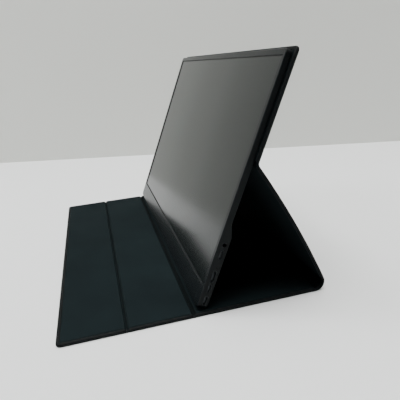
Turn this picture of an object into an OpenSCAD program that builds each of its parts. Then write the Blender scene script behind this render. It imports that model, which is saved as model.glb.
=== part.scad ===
// Portable monitor standing in its folding cover. The cover lies on the table as three
// boards, wraps round the rear as a soft spine, rises as a leg and carries the upper back
// of the monitor, whose foot rests on the rear board. Millimetres, +Z up, front to -Y.

/* [Monitor] */
// Width of the monitor
monitor_w = 355; // [320:1:390]
// Height of the monitor along the screen
monitor_h = 224; // [205:1:245]
// Thickness of the upper part
thin_t = 6; // [6:0.1:8]
// Thickness of the lower part that holds the boards and the sockets
thick_t = 10; // [10:0.1:13]
// Height of the thick lower part
thick_h = 67; // [67:1:80]
// Height over which the back slopes from thick to thin
slope_h = 12; // [6:1:25]
// Radius of the monitor's corners, seen from the front
corner_r = 4.5; // [2:0.5:9]
// Radius of the rounded back edges
edge_r = 1.2; // [0.4:0.1:2]
// Wall of the rear housing
wall = 1.5; // [1.2:0.1:2]
// Thickness of the back wall of the rear housing
back_wall = 1.2; // [0.8:0.1:1.3]
// Thickness of the front frame
bezel_t = 0.8; // [0.6:0.1:1]
// Width of the frame beside the screen
bezel_side = 4.7; // [4:0.1:8]
// Width of the frame above the screen
bezel_top = 4.9; // [4:0.1:8]
// Height of the chin below the screen
chin_h = 20.5; // [19:0.5:30]

/* [Screen] */
// Thickness of the liquid crystal panel
panel_t = 1.2; // [0.8:0.1:1.2]
// Thickness of the diffuser sheets
diffuser_t = 0.3; // [0.1:0.05:0.3]
// Thickness of the light guide
guide_t = 0.8; // [0.5:0.05:0.8]
// Thickness of the reflector sheet
reflector_t = 0.2; // [0.1:0.05:0.2]
// Thickness of the steel back plate
plate_t = 0.5; // [0.3:0.05:0.5]
// How far the panel reaches under the frame
panel_lap = 1.6; // [1:0.1:2.4]
// Height of the light strip below the light guide
led_h = 2.4; // [1.5:0.1:3]

/* [Sockets and buttons] */
// Centre of the lower round-ended data socket above the bottom edge
data_low = 8; // [7:0.5:9]
// Centre of the upper round-ended data socket above the bottom edge
data_high = 51.5; // [49:0.5:52]
// Centre of the small service socket above the bottom edge
service_up = 20; // [18:0.5:20]
// Centre of the video socket above the bottom edge
video_up = 31; // [31:0.5:34]
// Centre of the sound socket above the bottom edge
sound_up = 61; // [60:0.5:62]
// Radius of the sound socket's bore
sound_r = 1.8; // [1.5:0.05:2]
// Depth of the sockets' mouths behind the front face
socket_in = 5.65; // [5.6:0.05:5.8]
// Centre of the power button above the bottom edge, on the other side
power_up = 54; // [50:0.5:56]
// Centre of the menu rocker above the bottom edge
rocker_up = 32; // [28:0.5:34]
// Travel of the power button
press = 0.35; // [0.2:0.05:0.5]
// How far the power button and the rocker stand out of the side
button_proud = 0.5; // [0.3:0.1:1]
// Gap round the power button and the rocker
button_gap = 0.3; // [0.2:0.05:0.5]

/* [Cover] */
// Thickness of the cover's stiff panels
cover_t = 2.8; // [2.6:0.1:3.4]
// Thickness of the outer leather
skin_t = 0.6; // [0.4:0.1:0.8]
// Thickness of the inner lining
lining_t = 0.6; // [0.4:0.1:0.8]
// Width of the leather turned over the edges
hem_w = 3.2; // [2.5:0.1:6]
// How far the cover stands out past the monitor's sides and top
overhang = 3.75; // [2:0.25:6]
// Radius of the cover's corners
cover_corner_r = 4.5; // [2:0.5:9]
// Pitch of the two creases of the front flaps
flap_w = 57.6; // [45:0.2:65]
// Width of the crease between two boards
crease_w = 1.8; // [1.2:0.1:2.4]
// Width of a crease's groove at the lining
groove_w = 4.2; // [3:0.1:5]
// Thickness of the leather and lining in a crease
crease_t = 1.2; // [0.8:0.1:1.4]
// Thickness of the leather and lining of the spine and of the back fold
fold_t = 1.6; // [1.2:0.1:2]

/* [Stand] */
// How far the screen leans back from upright
screen_lean = 23; // [18:0.5:27]
// Distance from the second crease to the front of the monitor's foot
foot_back = 2.6; // [2:0.1:8]
// Height of the back fold above the monitor's bottom edge
fold_up = 133.8; // [125:0.2:150]
// Length of the leg, from the back fold to where the leg meets the table
leg_len = 143.3; // [138:0.1:160]
// Radius of the spine where it wraps round the rear
spine_r = 9; // [7:0.5:11]
// Radius of the back fold
back_fold_r = 3.5; // [2:0.5:5]
// Gap under the monitor's foot
foot_gap = 0.3; // [0.2:0.05:0.5]

/* [Hidden] */
$fn = 48;
past = 1;               // how far a cutting solid runs past the face it cuts
fit_gap = 0.15;         // play round a socket in its hole and behind a button's flange
layer_gap = 0.05;       // play in front of the liquid crystal panel
weld = 0.05;            // how far two solids of one piece run into each other
bend_gap = 0.2;         // angle left open where a bend meets a panel that lies at a slant

// The monitor's foot, the back fold and the table corner of the leg, seen from the side,
// with Y counted from the front edge of the cover
foot_y = 2 * flap_w + foot_back;
foot_z = cover_t + foot_gap + thick_t * sin(screen_lean);
back_out = thin_t + cover_t;
fold_y = foot_y + fold_up * sin(screen_lean) + back_out * cos(screen_lean);
fold_z = foot_z + fold_up * cos(screen_lean) - back_out * sin(screen_lean);
leg_angle = asin(fold_z / leg_len);
corner_y = fold_y + leg_len * cos(leg_angle);
spine_turn = 180 - leg_angle;
spine_reach = spine_r * tan(spine_turn / 2);
rear_end_y = corner_y - spine_reach;
back_fold_turn = 90 - leg_angle + screen_lean;
back_fold_reach = back_fold_r * tan(back_fold_turn / 2);
depth = rear_end_y + spine_r;

// The cover's panels
cover_w = monitor_w + 2 * overhang;
slant = (groove_w - crease_w) / 2;
leather_r = 0.9;        // radius of the leather where it turns over an edge
leg_run = leg_len - spine_reach - back_fold_reach;
back_run = monitor_h + overhang - fold_up - back_fold_reach;
rear_start = 2 * flap_w + crease_w / 2;
board_top = cover_t - lining_t;
front_run = flap_w - crease_w / 2;
middle_run = flap_w - crease_w;
rear_run = rear_end_y - rear_start;

// The spine's arc, and the narrow board in its middle
spine_mid = -90 + spine_turn / 2;
spine_end = -90 + spine_turn;
spine_board_half = spine_turn * 0.16;
spine_board_t = 0.5;
spine_board_out = spine_r - skin_t + weld;

// The magnets set into the boards of the back panel and of the front flap
magnet_size = [20, 8, 1];
holding_spots = [for (s = [-1, 1], part = [0.14, 0.38]) s * part * monitor_w];
flap_spots = [for (s = [-1, 1]) s * 0.3 * monitor_w];
flap_magnet_y = hem_w + 8;

// The layers of the screen, counted back from the front face
panel_front = bezel_t + layer_gap;
diffuser_front = panel_front + panel_t;
guide_front = diffuser_front + diffuser_t;
reflector_front = guide_front + guide_t;
plate_front = reflector_front + reflector_t;
plate_back = plate_front + plate_t;
window_w = monitor_w - 2 * bezel_side;
window_top = monitor_h - bezel_top;
panel_w = window_w + 2 * panel_lap;
panel_low = chin_h - 2 * panel_lap;
panel_top = window_top + panel_lap;
window_bevel = 0.5;
rib_in = 1;             // from the housing's lower wall to the opening of the frame's rib
sheet_in = 1;           // how far the light's sheets end inside the panel's outline
inside_back = thick_t - back_wall;
lamps = 30;
lamp_share = 0.5;       // share of its pitch that the gap of a lamp takes
lamp_deep = 0.5;
plate_slot = [60, 12];
plate_slots_up = [100, 160];

// The boards inside the thick part; the sockets stand on the main board's front side
board_t = 1;
board_gap = 0.5;        // room between the main board and the back wall
board_back = inside_back - board_gap;
board_front = board_back - board_t;
board_low = wall + 1.5;
board_high = thick_h - 2.5;
board_w = 110;
board_right = monitor_w / 2 - wall - 0.3;
shield_size = [44, 30, 1.6];        // width, height and depth of the pressed tin
shield_spot = [25, 14];             // its lower left corner on the board
shield_r = 1.5;
shield_wall = 0.3;
mouth_x = monitor_w / 2 - 0.3;
socket_wall = 0.3;
data_size = [8.94, 3.26, 7.4];      // long side, short side and depth of each socket
service_size = [7.5, 2.5, 5.6];
video_size = [11.2, 3.2, 7.5];
corner_cut = 0.32;                  // share of its short side cut off a socket's corners
tongue_share = 0.62;                // the tongue's width as a share of the socket's
tongue_t = 0.7;
tongue_back = 1;                    // from the socket's mouth back to its tongue
foot_w = 3;                         // width of the foot under a socket
foot_back_gap = 0.5;
sound_size = [6, 12, 4.4];          // width, depth into the monitor and thickness
sound_neck = 0.25;                  // wall of its neck in the housing's hole
sound_back = 1;                     // wall behind its bore
sound_ear = [5, 0.6, 1.5];          // length, thickness and reach of its ears on the board
sound_ear_in = 2;
sound_gap = 0.3;
pinhole_up = 40;
pinhole_r = 0.6;
panel_board_w = 260;
panel_board_low = wall + 1.8;
panel_board_high = panel_low - 3;
panel_board_front = diffuser_front + 0.15;
panel_board_t = 0.8;
panel_board_back = panel_board_front + panel_board_t;
panel_hole_in = 4;
panel_hole_r = 1.1;
ribbon_in = 40;                     // from the main board's left edge to the ribbon's middle
ribbon_x = board_right - board_w + ribbon_in;
ribbon_w = 26;
ribbon_t = 0.3;
ribbon_low = 5;
ribbon_up = 10;
flexes = 5;
flex_pitch = panel_board_w / 5.5;
flex_w = 24;
flex_lap = 3;
flex_gap = 0.4;

// The speakers and their slots
speaker_size = [40, 16, 4];
speaker_gap = 6;                    // from the main board to the right speaker
speaker_x = board_right - board_w - speaker_gap - speaker_size[0] / 2;
speaker_up = 24;
speaker_r = 3;
cone_rim = [6, 4];                  // how much shorter and lower the sunk cone is
cone_sunk = 1.2;
slot_pitch = 3.6;
slot_w = 1.3;
slot_len = 11;
slots = 9;

// The buttons on the left side, and what they press
left_x = -monitor_w / 2;
button_wide = 2.5;
power_len = 9;
rocker_len = 16;
button_in = socket_in + 0.6;
flange_t = 0.6;
flange_lap = 1;
flange_side = 0.8;
rocker_lift = 0.65;                 // room behind the wall for the rocker to rock
rocker_sweep = 0.5;
ridge_r = rocker_lift - 0.1;        // the ridge that the rocker rocks on
ridge_lap = 0.7;
mark_at = 0.28;                     // places of the rocker's two marks, as a share of its length
mark_r = 0.35;
switch_reach = 0.1;
switch_size = [3, 4, 3];
switch_spread = 6;                  // from the rocker's middle to the switches at its ends
switch_x = left_x + wall + rocker_lift + flange_t + rocker_sweep + switch_reach;
plunger_x = left_x + wall + fit_gap + flange_t + press + switch_reach;
plunger_size = [switch_x - plunger_x, 1.4, 2];
plunger_lift = 2;
button_board_w = 14;
button_board_below = 20;            // how far the board runs past the rocker and the button
button_board_above = 8;
button_board_low = rocker_up - button_board_below;
button_board_high = power_up + button_board_above;
cable_up = 40;
cable_w = 7;
cable_t = 0.2;
cable_in = 8;                       // from the switches to the cable's end on the button board
cable_lap = 6;                      // from the main board's edge to the cable's other end
screw_r = 0.8;
screw_head_r = 1.6;
screw_head_t = 0.6;
post_wall = 0.6;
post_sunk = back_wall / 2;          // how far posts and screws reach into the back wall
screw_in = 12;                      // from the main board's sides to its screws
screw_spots = [[screw_in, 8], [board_w - screw_in, 14], [screw_in, 52], [board_w - screw_in, 43]];

// A rectangle with round corners, its lower left corner at the origin
module rounded(w, h, r) {
    union() {
        translate([r, 0]) square([w - 2 * r, h]);
        translate([0, r]) square([w, h - 2 * r]);
        for (x = [r, w - r], y = [r, h - r]) translate([x, y]) circle(r);
    }
}

// A bar with half-round ends about the origin
module pill(long, wide) {
    union() {
        square([long - wide, wide], center = true);
        for (s = [-1, 1]) translate([s * (long - wide) / 2, 0]) circle(wide / 2);
    }
}

// Moves what is drawn from the cover's front edge so that the whole part is centred
module centred() translate([0, -depth / 2, 0]) children();

// Sets a piece drawn upright, its front face on the XZ plane, onto the leaning monitor
module on_monitor()
    centred() translate([0, foot_y, foot_z]) rotate([-screen_lean, 0, 0]) children();

// Lays a side view, depth along X and height along Y, across the width w about x
module across(w, x = 0)
    translate([x, 0, 0]) rotate([90, 0, 90]) linear_extrude(w, center = true) children();

// Stands a front view between two depths behind the front face
module from_to(front, back)
    translate([0, back, 0]) rotate([90, 0, 0]) linear_extrude(back - front) children();

// A plate of the screen's layers
module layer(w, low, high, front, t)
    from_to(front, front + t) translate([-w / 2, low]) square([w, high - low]);

// Drives a shape, its long side up the monitor, in from the right side: from is the
// outer end, and the shape runs deep towards the middle
module into_side(from, deep, up, in)
    translate([from - deep, in, up]) rotate([0, 90, 0]) linear_extrude(deep) children();

// The monitor's outline from the front
module front_outline()
    translate([-monitor_w / 2, 0]) rounded(monitor_w, monitor_h, corner_r);

// The monitor seen from its end, width along X, with the two back edges rounded
module end_outline(t)
    union() {
        translate([-monitor_w / 2, 0]) square([monitor_w, t - edge_r]);
        translate([-monitor_w / 2 + edge_r, 0]) square([monitor_w - 2 * edge_r, t]);
        for (s = [-1, 1]) translate([s * (monitor_w / 2 - edge_r), t - edge_r]) circle(edge_r);
    }

// The thin part and the thick part of the housing as solids
module thin_block()
    intersection() {
        from_to(bezel_t, thin_t) front_outline();
        linear_extrude(monitor_h) end_outline(thin_t);
        across(monitor_w) union() {
            square([thin_t, monitor_h - edge_r]);
            square([thin_t - edge_r, monitor_h]);
            translate([thin_t - edge_r, monitor_h - edge_r]) circle(edge_r);
        }
    }

module thick_block()
    intersection() {
        from_to(bezel_t, thick_t) front_outline();
        linear_extrude(monitor_h) end_outline(thick_t);
        across(monitor_w) union() {
            polygon([[0, edge_r], [thick_t, edge_r], [thick_t, thick_h],
                [thin_t, thick_h + slope_h], [0, thick_h + slope_h]]);
            square([thick_t - edge_r, thick_h]);
            translate([thick_t - edge_r, edge_r]) circle(edge_r);
        }
    }

// The room inside the housing: shallow behind the screen, deep in the thick part
module housing_room()
    across(monitor_w - 2 * wall)
        polygon([[bezel_t - past, wall], [inside_back, wall], [inside_back, thick_h - 1],
            [thin_t - back_wall, thick_h + slope_h - 1], [thin_t - back_wall, monitor_h - wall],
            [bezel_t - past, monitor_h - wall]]);

// The board posts, each a short round pad on the back wall
module at_screws()
    for (spot = screw_spots)
        translate([board_right - spot[0], board_back, board_low + spot[1]])
            rotate([90, 0, 0]) children();

// The rows of slots in front of the speakers
module speaker_slots()
    for (side = [-1, 1], n = [0 : slots - 1])
        translate([side * speaker_x + (n - (slots - 1) / 2) * slot_pitch, 0, speaker_up])
            from_to(inside_back - past, thick_t + past) rotate(90) pill(slot_len, slot_w);

module rear_housing() color("#202425")
    on_monitor() difference() {
        union() {
            difference() {
                union() {
                    thin_block();
                    thick_block();
                }
                housing_room();
            }
            at_screws() translate([0, 0, -board_gap - post_sunk])
                cylinder(r = screw_head_r + post_wall, h = board_gap + post_sunk);
        }
        at_screws() translate([0, 0, -board_gap - post_sunk])
            cylinder(r = screw_r, h = board_gap + post_sunk + past);
        for (up = [data_low, data_high])
            into_side(monitor_w / 2 + past, wall + 2 * past, up, socket_in)
                pill(data_size[0] + 2 * fit_gap, data_size[1] + 2 * fit_gap);
        into_side(monitor_w / 2 + past, wall + 2 * past, service_up, socket_in)
            socket_outline(service_size, fit_gap);
        into_side(monitor_w / 2 + past, wall + 2 * past, video_up, socket_in)
            socket_outline(video_size, fit_gap);
        into_side(monitor_w / 2 + past, wall + 2 * past, sound_up, socket_in)
            circle(sound_r + sound_neck + fit_gap);
        into_side(monitor_w / 2 + past, wall + 2 * past, pinhole_up, socket_in + 1)
            circle(pinhole_r);
        into_side(left_x + wall + past, wall + 2 * past, power_up, button_in)
            pill(power_len + 2 * button_gap, button_wide + 2 * button_gap);
        into_side(left_x + wall + past, wall + 2 * past, rocker_up, button_in)
            pill(rocker_len + 2 * button_gap, button_wide + 2 * button_gap);
        speaker_slots();
    }

// The bevel's cutter: it widens at 45 degrees from the bevel's foot forwards, by out
module window_funnel(out)
    intersection() {
        across(monitor_w) polygon([[window_bevel, chin_h], [window_bevel, window_top],
            [window_bevel - out, window_top + out], [window_bevel - out, chin_h - out]]);
        linear_extrude(monitor_h) polygon([[-window_w / 2, window_bevel],
            [window_w / 2, window_bevel], [window_w / 2 + out, window_bevel - out],
            [-window_w / 2 - out, window_bevel - out]]);
    }

// The frame round the screen, bevelled towards it, with a low rib that drops inside the
// housing's walls
module front_frame() color("#2b2f30")
    on_monitor() difference() {
        union() {
            from_to(0, bezel_t) front_outline();
            from_to(bezel_t, panel_front + panel_t) difference() {
                translate([-monitor_w / 2 + wall + fit_gap, wall + fit_gap])
                    square([monitor_w - 2 * wall - 2 * fit_gap, monitor_h - 2 * wall - 2 * fit_gap]);
                translate([-panel_w / 2 - fit_gap, wall + rib_in])
                    square([panel_w + 2 * fit_gap, panel_top + fit_gap - wall - rib_in]);
            }
        }
        from_to(-past, bezel_t + past) translate([-window_w / 2, chin_h])
            square([window_w, window_top - chin_h]);
        window_funnel(window_bevel + past);
    }

module screen_panel() color("#6d716f")
    on_monitor() layer(panel_w, panel_low, panel_top, panel_front, panel_t);

// A sheet of the light behind the panel, above the strip of lamps
module light_layer(front, t)
    layer(panel_w - 2 * sheet_in, panel_low + led_h, panel_top - sheet_in, front, t);

module diffuser_sheet() color("#f2f2ee")
    on_monitor() light_layer(diffuser_front, diffuser_t);

module light_guide() color("#dfe8ea")
    on_monitor() light_layer(guide_front, guide_t);

module reflector_sheet() color("#f5f5f2")
    on_monitor() light_layer(reflector_front, reflector_t);

// The strip of lamps along the lower edge of the light guide
module light_strip() color("#e8e2c0")
    on_monitor() difference() {
        lamp_pitch = (panel_w - 4 * sheet_in) / (lamps + 1);
        layer(panel_w - 4 * sheet_in, panel_low, panel_low + led_h, guide_front, guide_t);
        for (n = [0 : lamps - 1])
            translate([(n - (lamps - 1) / 2) * lamp_pitch, 0, panel_low + led_h])
                from_to(guide_front - past, guide_front + guide_t + past)
                    square([lamp_pitch * lamp_share, 2 * lamp_deep], center = true);
    }

// The steel plate behind the light, lightened by slots and notched for the sound socket
module steel_back_plate() color("#9a9d9f")
    on_monitor() difference() {
        layer(panel_w - sheet_in, panel_low, panel_top - sheet_in / 2, plate_front, plate_t);
        for (s = [-1, 1], up = plate_slots_up)
            translate([s * monitor_w / 4, 0, up])
                from_to(plate_front - past, plate_back + past) pill(plate_slot[0], plate_slot[1]);
        from_to(plate_front - past, plate_back + past) sound_notch();
    }

// The panel's own board, hidden behind the chin
module panel_board() color("#1f5a38")
    on_monitor() from_to(panel_board_front, panel_board_back)
        difference() {
            translate([-panel_board_w / 2, panel_board_low])
                square([panel_board_w, panel_board_high - panel_board_low]);
            for (s = [-1, 1])
                translate([s * (panel_board_w / 2 - panel_hole_in), panel_board_low + panel_hole_in])
                    circle(panel_hole_r);
        }

// The flexes from the panel's lower edge down to its board
module panel_flexes() color("#b8782a")
    on_monitor() for (n = [0 : flexes - 1])
        from_to(diffuser_front, panel_board_front)
            translate([(n - (flexes - 1) / 2) * flex_pitch - flex_w / 2, panel_board_high - flex_lap])
                square([flex_w, panel_low + led_h - flex_gap - panel_board_high + flex_lap]);

// The ribbon from the panel's board back to the main board
module signal_ribbon() color("#c9c5b4")
    on_monitor() across(ribbon_w, ribbon_x)
        polygon([[panel_board_back, ribbon_low], [panel_board_back + ribbon_t, ribbon_low],
            [panel_board_back + ribbon_t, ribbon_up - ribbon_t], [board_front, ribbon_up - ribbon_t],
            [board_front, ribbon_up], [panel_board_back, ribbon_up]]);

// The notch that lets the sound socket into the main board and the steel plate
module sound_notch()
    translate([board_right - sound_size[1] - sound_gap, sound_up - sound_size[0] / 2 - sound_gap])
        square([sound_size[1] + sound_gap + past, sound_size[0] + 2 * sound_gap]);

module main_board() color("#1f5a38")
    on_monitor() difference() {
        from_to(board_front, board_back) difference() {
            translate([board_right - board_w, board_low]) square([board_w, board_high - board_low]);
            sound_notch();
        }
        at_screws() translate([0, 0, -past]) cylinder(r = screw_r + fit_gap, h = board_t + 2 * past);
    }

// The pressed tin over the main board's chips
module board_shield() color("#b9bcbd")
    on_monitor() translate([board_right - board_w + shield_spot[0], 0, board_low + shield_spot[1]])
        difference() {
            from_to(board_front - shield_size[2], board_front)
                rounded(shield_size[0], shield_size[1], shield_r);
            from_to(board_front - shield_size[2] + shield_wall, board_front + past)
                translate([shield_wall, shield_wall])
                    rounded(shield_size[0] - 2 * shield_wall, shield_size[1] - 2 * shield_wall,
                        shield_r - shield_wall);
        }

module board_screws() color("#8d9092")
    on_monitor() at_screws() {
        translate([0, 0, board_t]) cylinder(r = screw_head_r, h = screw_head_t);
        translate([0, 0, -board_gap - post_sunk])
            cylinder(r = screw_r, h = board_t + board_gap + post_sunk);
    }

// A socket's outline with its two lower corners cut off, as video and service sockets have
module socket_outline(size, grow) {
    l = size[0] / 2 + grow;
    w = size[1] / 2 + grow;
    cut = size[1] * corner_cut;
    polygon([[-l, -w], [l, -w], [l, w - cut], [l - cut, w], [-l + cut, w], [-l, w - cut]]);
}

// A pressed metal socket: a shell, closed at the back, round a tongue, on its board. The
// first child is its outline, the second its mouth.
module socket(size, up) {
    foot_top = socket_in + size[1] / 2 - weld;
    into_side(mouth_x, size[2], up, socket_in) difference() {
        children(0);
        children(1);
    }
    into_side(mouth_x - size[2] + socket_wall, socket_wall, up, socket_in) children(0);
    into_side(mouth_x - tongue_back, size[2] - tongue_back, up, socket_in)
        square([size[0] * tongue_share, tongue_t], center = true);
    translate([mouth_x - size[2], foot_top, up - foot_w / 2])
        cube([size[2] - wall - foot_back_gap, board_front - foot_top, foot_w]);
}

module data_sockets() color("#a9abad")
    on_monitor() for (up = [data_low, data_high])
        socket(data_size, up) {
            pill(data_size[0], data_size[1]);
            pill(data_size[0] - 2 * socket_wall, data_size[1] - 2 * socket_wall);
        }

module service_socket() color("#a9abad")
    on_monitor() socket(service_size, service_up) {
        socket_outline(service_size, 0);
        socket_outline(service_size, -socket_wall);
    }

module video_socket() color("#a9abad")
    on_monitor() socket(video_size, video_up) {
        socket_outline(video_size, 0);
        socket_outline(video_size, -socket_wall);
    }

// The round sound socket, in a notch of the main board, with ears that lie on the board
module sound_socket() color("#17191a")
    on_monitor() difference() {
        union() {
            translate([board_right - sound_size[1], socket_in - sound_size[2] / 2,
                    sound_up - sound_size[0] / 2])
                cube([sound_size[1], sound_size[2], sound_size[0]]);
            into_side(mouth_x, mouth_x - board_right + past, sound_up, socket_in)
                circle(sound_r + sound_neck);
            translate([board_right - sound_size[1] + sound_ear_in, board_front - sound_ear[1],
                    sound_up - sound_size[0] / 2 - sound_ear[2]])
                cube([sound_ear[0], sound_ear[1], sound_size[0] + 2 * sound_ear[2]]);
        }
        into_side(mouth_x + past, sound_size[1] - sound_back + past, sound_up, socket_in)
            circle(sound_r);
    }

// A flat speaker on the back wall, its sunk cone facing the slots
module speaker(side)
    on_monitor() translate([side * speaker_x, 0, speaker_up]) difference() {
        from_to(inside_back - speaker_size[2], inside_back)
            translate([-speaker_size[0] / 2, -speaker_size[1] / 2])
                rounded(speaker_size[0], speaker_size[1], speaker_r);
        from_to(inside_back - cone_sunk, inside_back + past)
            pill(speaker_size[0] - cone_rim[0], speaker_size[1] - cone_rim[1]);
    }

module speaker_left() color("#2a2a2c") speaker(-1);
module speaker_right() color("#2a2a2c") speaker(1);

module button_board() color("#1f5a38")
    on_monitor() from_to(board_front, board_back)
        translate([switch_x, button_board_low])
            square([button_board_w, button_board_high - button_board_low]);

// The small switches behind the rocker's two ends and the power button
module side_switches() color("#3a3c3e")
    on_monitor() {
        for (up = [rocker_up - switch_spread, rocker_up + switch_spread, power_up])
            translate([switch_x, board_front - switch_size[2], up - switch_size[1] / 2])
                cube([switch_size[0], switch_size[2], switch_size[1]]);
        translate([plunger_x, board_front - plunger_lift, power_up - plunger_size[2] / 2])
            cube(plunger_size);
    }

// The flat cable between the two boards, laid along the steel plate
module button_cable() color("#c9c5b4")
    on_monitor() translate([0, 0, cable_up]) linear_extrude(cable_w) {
        x0 = switch_x + cable_in;
        x1 = board_right - board_w + cable_lap;
        y0 = plate_back + cable_t / 2;
        polygon([[x0, board_front], [x0, y0], [x1 + cable_t, y0], [x1 + cable_t, board_front],
            [x1, board_front], [x1, y0 + cable_t], [x0 + cable_t, y0 + cable_t],
            [x0 + cable_t, board_front]]);
    }

// A cap that stands out of the side, with a flange behind the wall that keeps it in
module side_cap(long, up, behind) {
    root = wall + behind + flange_t / 2;
    into_side(left_x + root, root + button_proud, up, button_in) pill(long, button_wide);
    into_side(left_x + wall + behind + flange_t, flange_t, up, button_in)
        pill(long + 2 * flange_lap, button_wide + 2 * flange_side);
}

module power_button() color("#151718")
    on_monitor() side_cap(power_len, power_up, fit_gap);

// The rocker has a round ridge across its flange, on which it rocks against the wall
module menu_rocker() color("#151718")
    on_monitor() difference() {
        union() {
            side_cap(rocker_len, rocker_up, rocker_lift);
            translate([left_x + wall + rocker_lift, button_in, rocker_up]) rotate([90, 0, 0])
                cylinder(r = ridge_r, h = button_wide + 2 * ridge_lap, center = true);
        }
        for (s = [-1, 1])
            translate([left_x - button_proud, button_in, rocker_up + s * rocker_len * mark_at])
                rotate([90, 0, 0]) cylinder(r = mark_r, h = 2 * button_wide, center = true);
    }

// A rectangle whose corners are round at its free ends and square at its fold ends. Its
// ends lie across Y.
module half_rounded(w, length, r, free_start, free_end)
    union() {
        rounded(w, length, r);
        if (!free_start) square([w, length / 2]);
        if (!free_end) translate([0, length / 2]) square([w, length / 2]);
    }

// A stiff panel of the cover at full thickness, lying flat with its outer face down,
// from Y = 0 to its length. A fold end is slanted to let the crease close; a free end
// has round corners, and the leather rounds every edge that it turns over.
module panel(length, slant_start, slant_end, free_start, free_end)
    intersection() {
        across(cover_w) polygon([[0, 0], [length, 0], [length, crease_t],
            [length - slant_end, cover_t], [slant_start, cover_t], [0, crease_t]]);
        across(cover_w) mirror([1, -1]) half_rounded(cover_t, length, leather_r, free_start, free_end);
        linear_extrude(cover_t) translate([-cover_w / 2, 0])
            half_rounded(cover_w, length, cover_corner_r, free_start, free_end);
        translate([-cover_w / 2, length, 0]) rotate([90, 0, 0]) linear_extrude(length)
            rounded(cover_w, cover_t, leather_r);
    }

// The room within the turned hem of a panel, between two heights. It ends start_in and
// end_in before the panel's fold ends, or runs past them.
module pocket(length, low, high, free_start, free_end, start_in = -past, end_in = -past) {
    y0 = free_start ? hem_w : start_in;
    y1 = length - (free_end ? hem_w : end_in);
    translate([-cover_w / 2 + hem_w, y0, low]) cube([cover_w - 2 * hem_w, y1 - y0, high - low]);
}

// How far a board ends before a fold, so that the lining can turn down over its edge
function board_in(slanted) = max(slanted, lining_t);

// The leather tray of a panel, its board, and its lining with turned-down fold ends
module panel_skin(length, s0, s1, f0, f1) difference() {
    panel(length, s0, s1, f0, f1);
    pocket(length, skin_t, cover_t + past, f0, f1);
}
module panel_board_of(length, s0, s1, f0, f1)
    pocket(length, skin_t, board_top, f0, f1, board_in(s0), board_in(s1));
module panel_lining(length, s0, s1, f0, f1) {
    cut_start = f0 ? -past : board_in(s0);
    cut_end = f1 ? length + past : length - board_in(s1);
    difference() {
        intersection() {
            panel(length, s0, s1, f0, f1);
            pocket(length, skin_t, cover_t + past, f0, f1);
        }
        translate([-cover_w / 2, cut_start, -past])
            cube([cover_w, cut_end - cut_start, board_top + past]);
    }
}

// Where each panel lies
module at_front() centred() children();
module at_middle() centred() translate([0, flap_w + crease_w / 2, 0]) children();
module at_rear() centred() translate([0, rear_start, 0]) children();
module at_leg()
    centred() translate([0, corner_y - spine_reach * cos(leg_angle), spine_reach * sin(leg_angle)])
        rotate([spine_turn, 0, 0]) children();
module at_back()
    centred() translate([0, fold_y + back_fold_reach * sin(screen_lean),
            fold_z + back_fold_reach * cos(screen_lean)])
        rotate([90 - screen_lean, 0, 0]) children();

// The magnets set into the boards
module magnet_row(spots, y)
    for (x = spots)
        translate([x - magnet_size[0] / 2, y - magnet_size[1] / 2, skin_t])
            cube(magnet_size);

module back_panel_skin() color("#17191a") at_back() panel_skin(back_run, 0, 0, false, true);
module back_panel_board() color("#8a7a5e") at_back() difference() {
    panel_board_of(back_run, 0, 0, false, true);
    magnet_row(holding_spots, back_run / 2);
}
module back_panel_lining() color("#22282a") at_back() panel_lining(back_run, 0, 0, false, true);
module holding_magnets() color("#a2a4a6") at_back() magnet_row(holding_spots, back_run / 2);

module leg_skin() color("#17191a") at_leg() panel_skin(leg_run, 0, 0, false, false);
module leg_board() color("#8a7a5e") at_leg() panel_board_of(leg_run, 0, 0, false, false);
module leg_lining() color("#22282a") at_leg() panel_lining(leg_run, 0, 0, false, false);

module rear_skin() color("#17191a") at_rear() panel_skin(rear_run, slant, 0, false, false);
module rear_board() color("#8a7a5e") at_rear() panel_board_of(rear_run, slant, 0, false, false);
module rear_lining() color("#22282a") at_rear() panel_lining(rear_run, slant, 0, false, false);

module middle_skin() color("#17191a") at_middle() panel_skin(middle_run, slant, slant, false, false);
module middle_board() color("#8a7a5e")
    at_middle() panel_board_of(middle_run, slant, slant, false, false);
module middle_lining() color("#22282a")
    at_middle() panel_lining(middle_run, slant, slant, false, false);

module front_skin() color("#17191a") at_front() panel_skin(front_run, 0, slant, true, false);
module front_board() color("#8a7a5e") at_front() difference() {
    panel_board_of(front_run, 0, slant, true, false);
    magnet_row(flap_spots, flap_magnet_y);
}
module front_lining() color("#22282a") at_front() panel_lining(front_run, 0, slant, true, false);
module flap_magnets() color("#a2a4a6") at_front() magnet_row(flap_spots, flap_magnet_y);

// The thin bendable strips of leather and lining between two boards on the table
module crease(y)
    centred() translate([-cover_w / 2, y - crease_w / 2, 0]) cube([cover_w, crease_w, crease_t]);
module front_crease() color("#101314") crease(flap_w);
module middle_crease() color("#101314") crease(2 * flap_w);

// Part of a bent strip across the cover: an arc about the X axis through (y, z), where
// angle 0 points to the rear and 90 points up
module bent(y, z, r_in, r_out, from_angle, to_angle, w)
    centred() translate([0, y, z]) rotate([90, 0, 90]) rotate([0, 0, from_angle])
        rotate_extrude(angle = to_angle - from_angle, $fn = 96)
            translate([r_in, -w / 2]) square([r_out - r_in, w]);

// The spine wraps round the rear in two halves, with a narrow board in its middle
module spine_half(from_angle, to_angle) difference() {
    bent(rear_end_y, spine_r, spine_r - fold_t, spine_r, from_angle, to_angle, cover_w);
    spine_board();
}
module spine_lower() color("#131516") spine_half(-90, spine_mid);
module spine_upper() color("#131516") spine_half(spine_mid, spine_end - bend_gap);
module spine_board() color("#8a7a5e")
    bent(rear_end_y, spine_r, spine_board_out - spine_board_t, spine_board_out,
        spine_mid - spine_board_half, spine_mid + spine_board_half, cover_w - 2 * hem_w);

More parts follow.
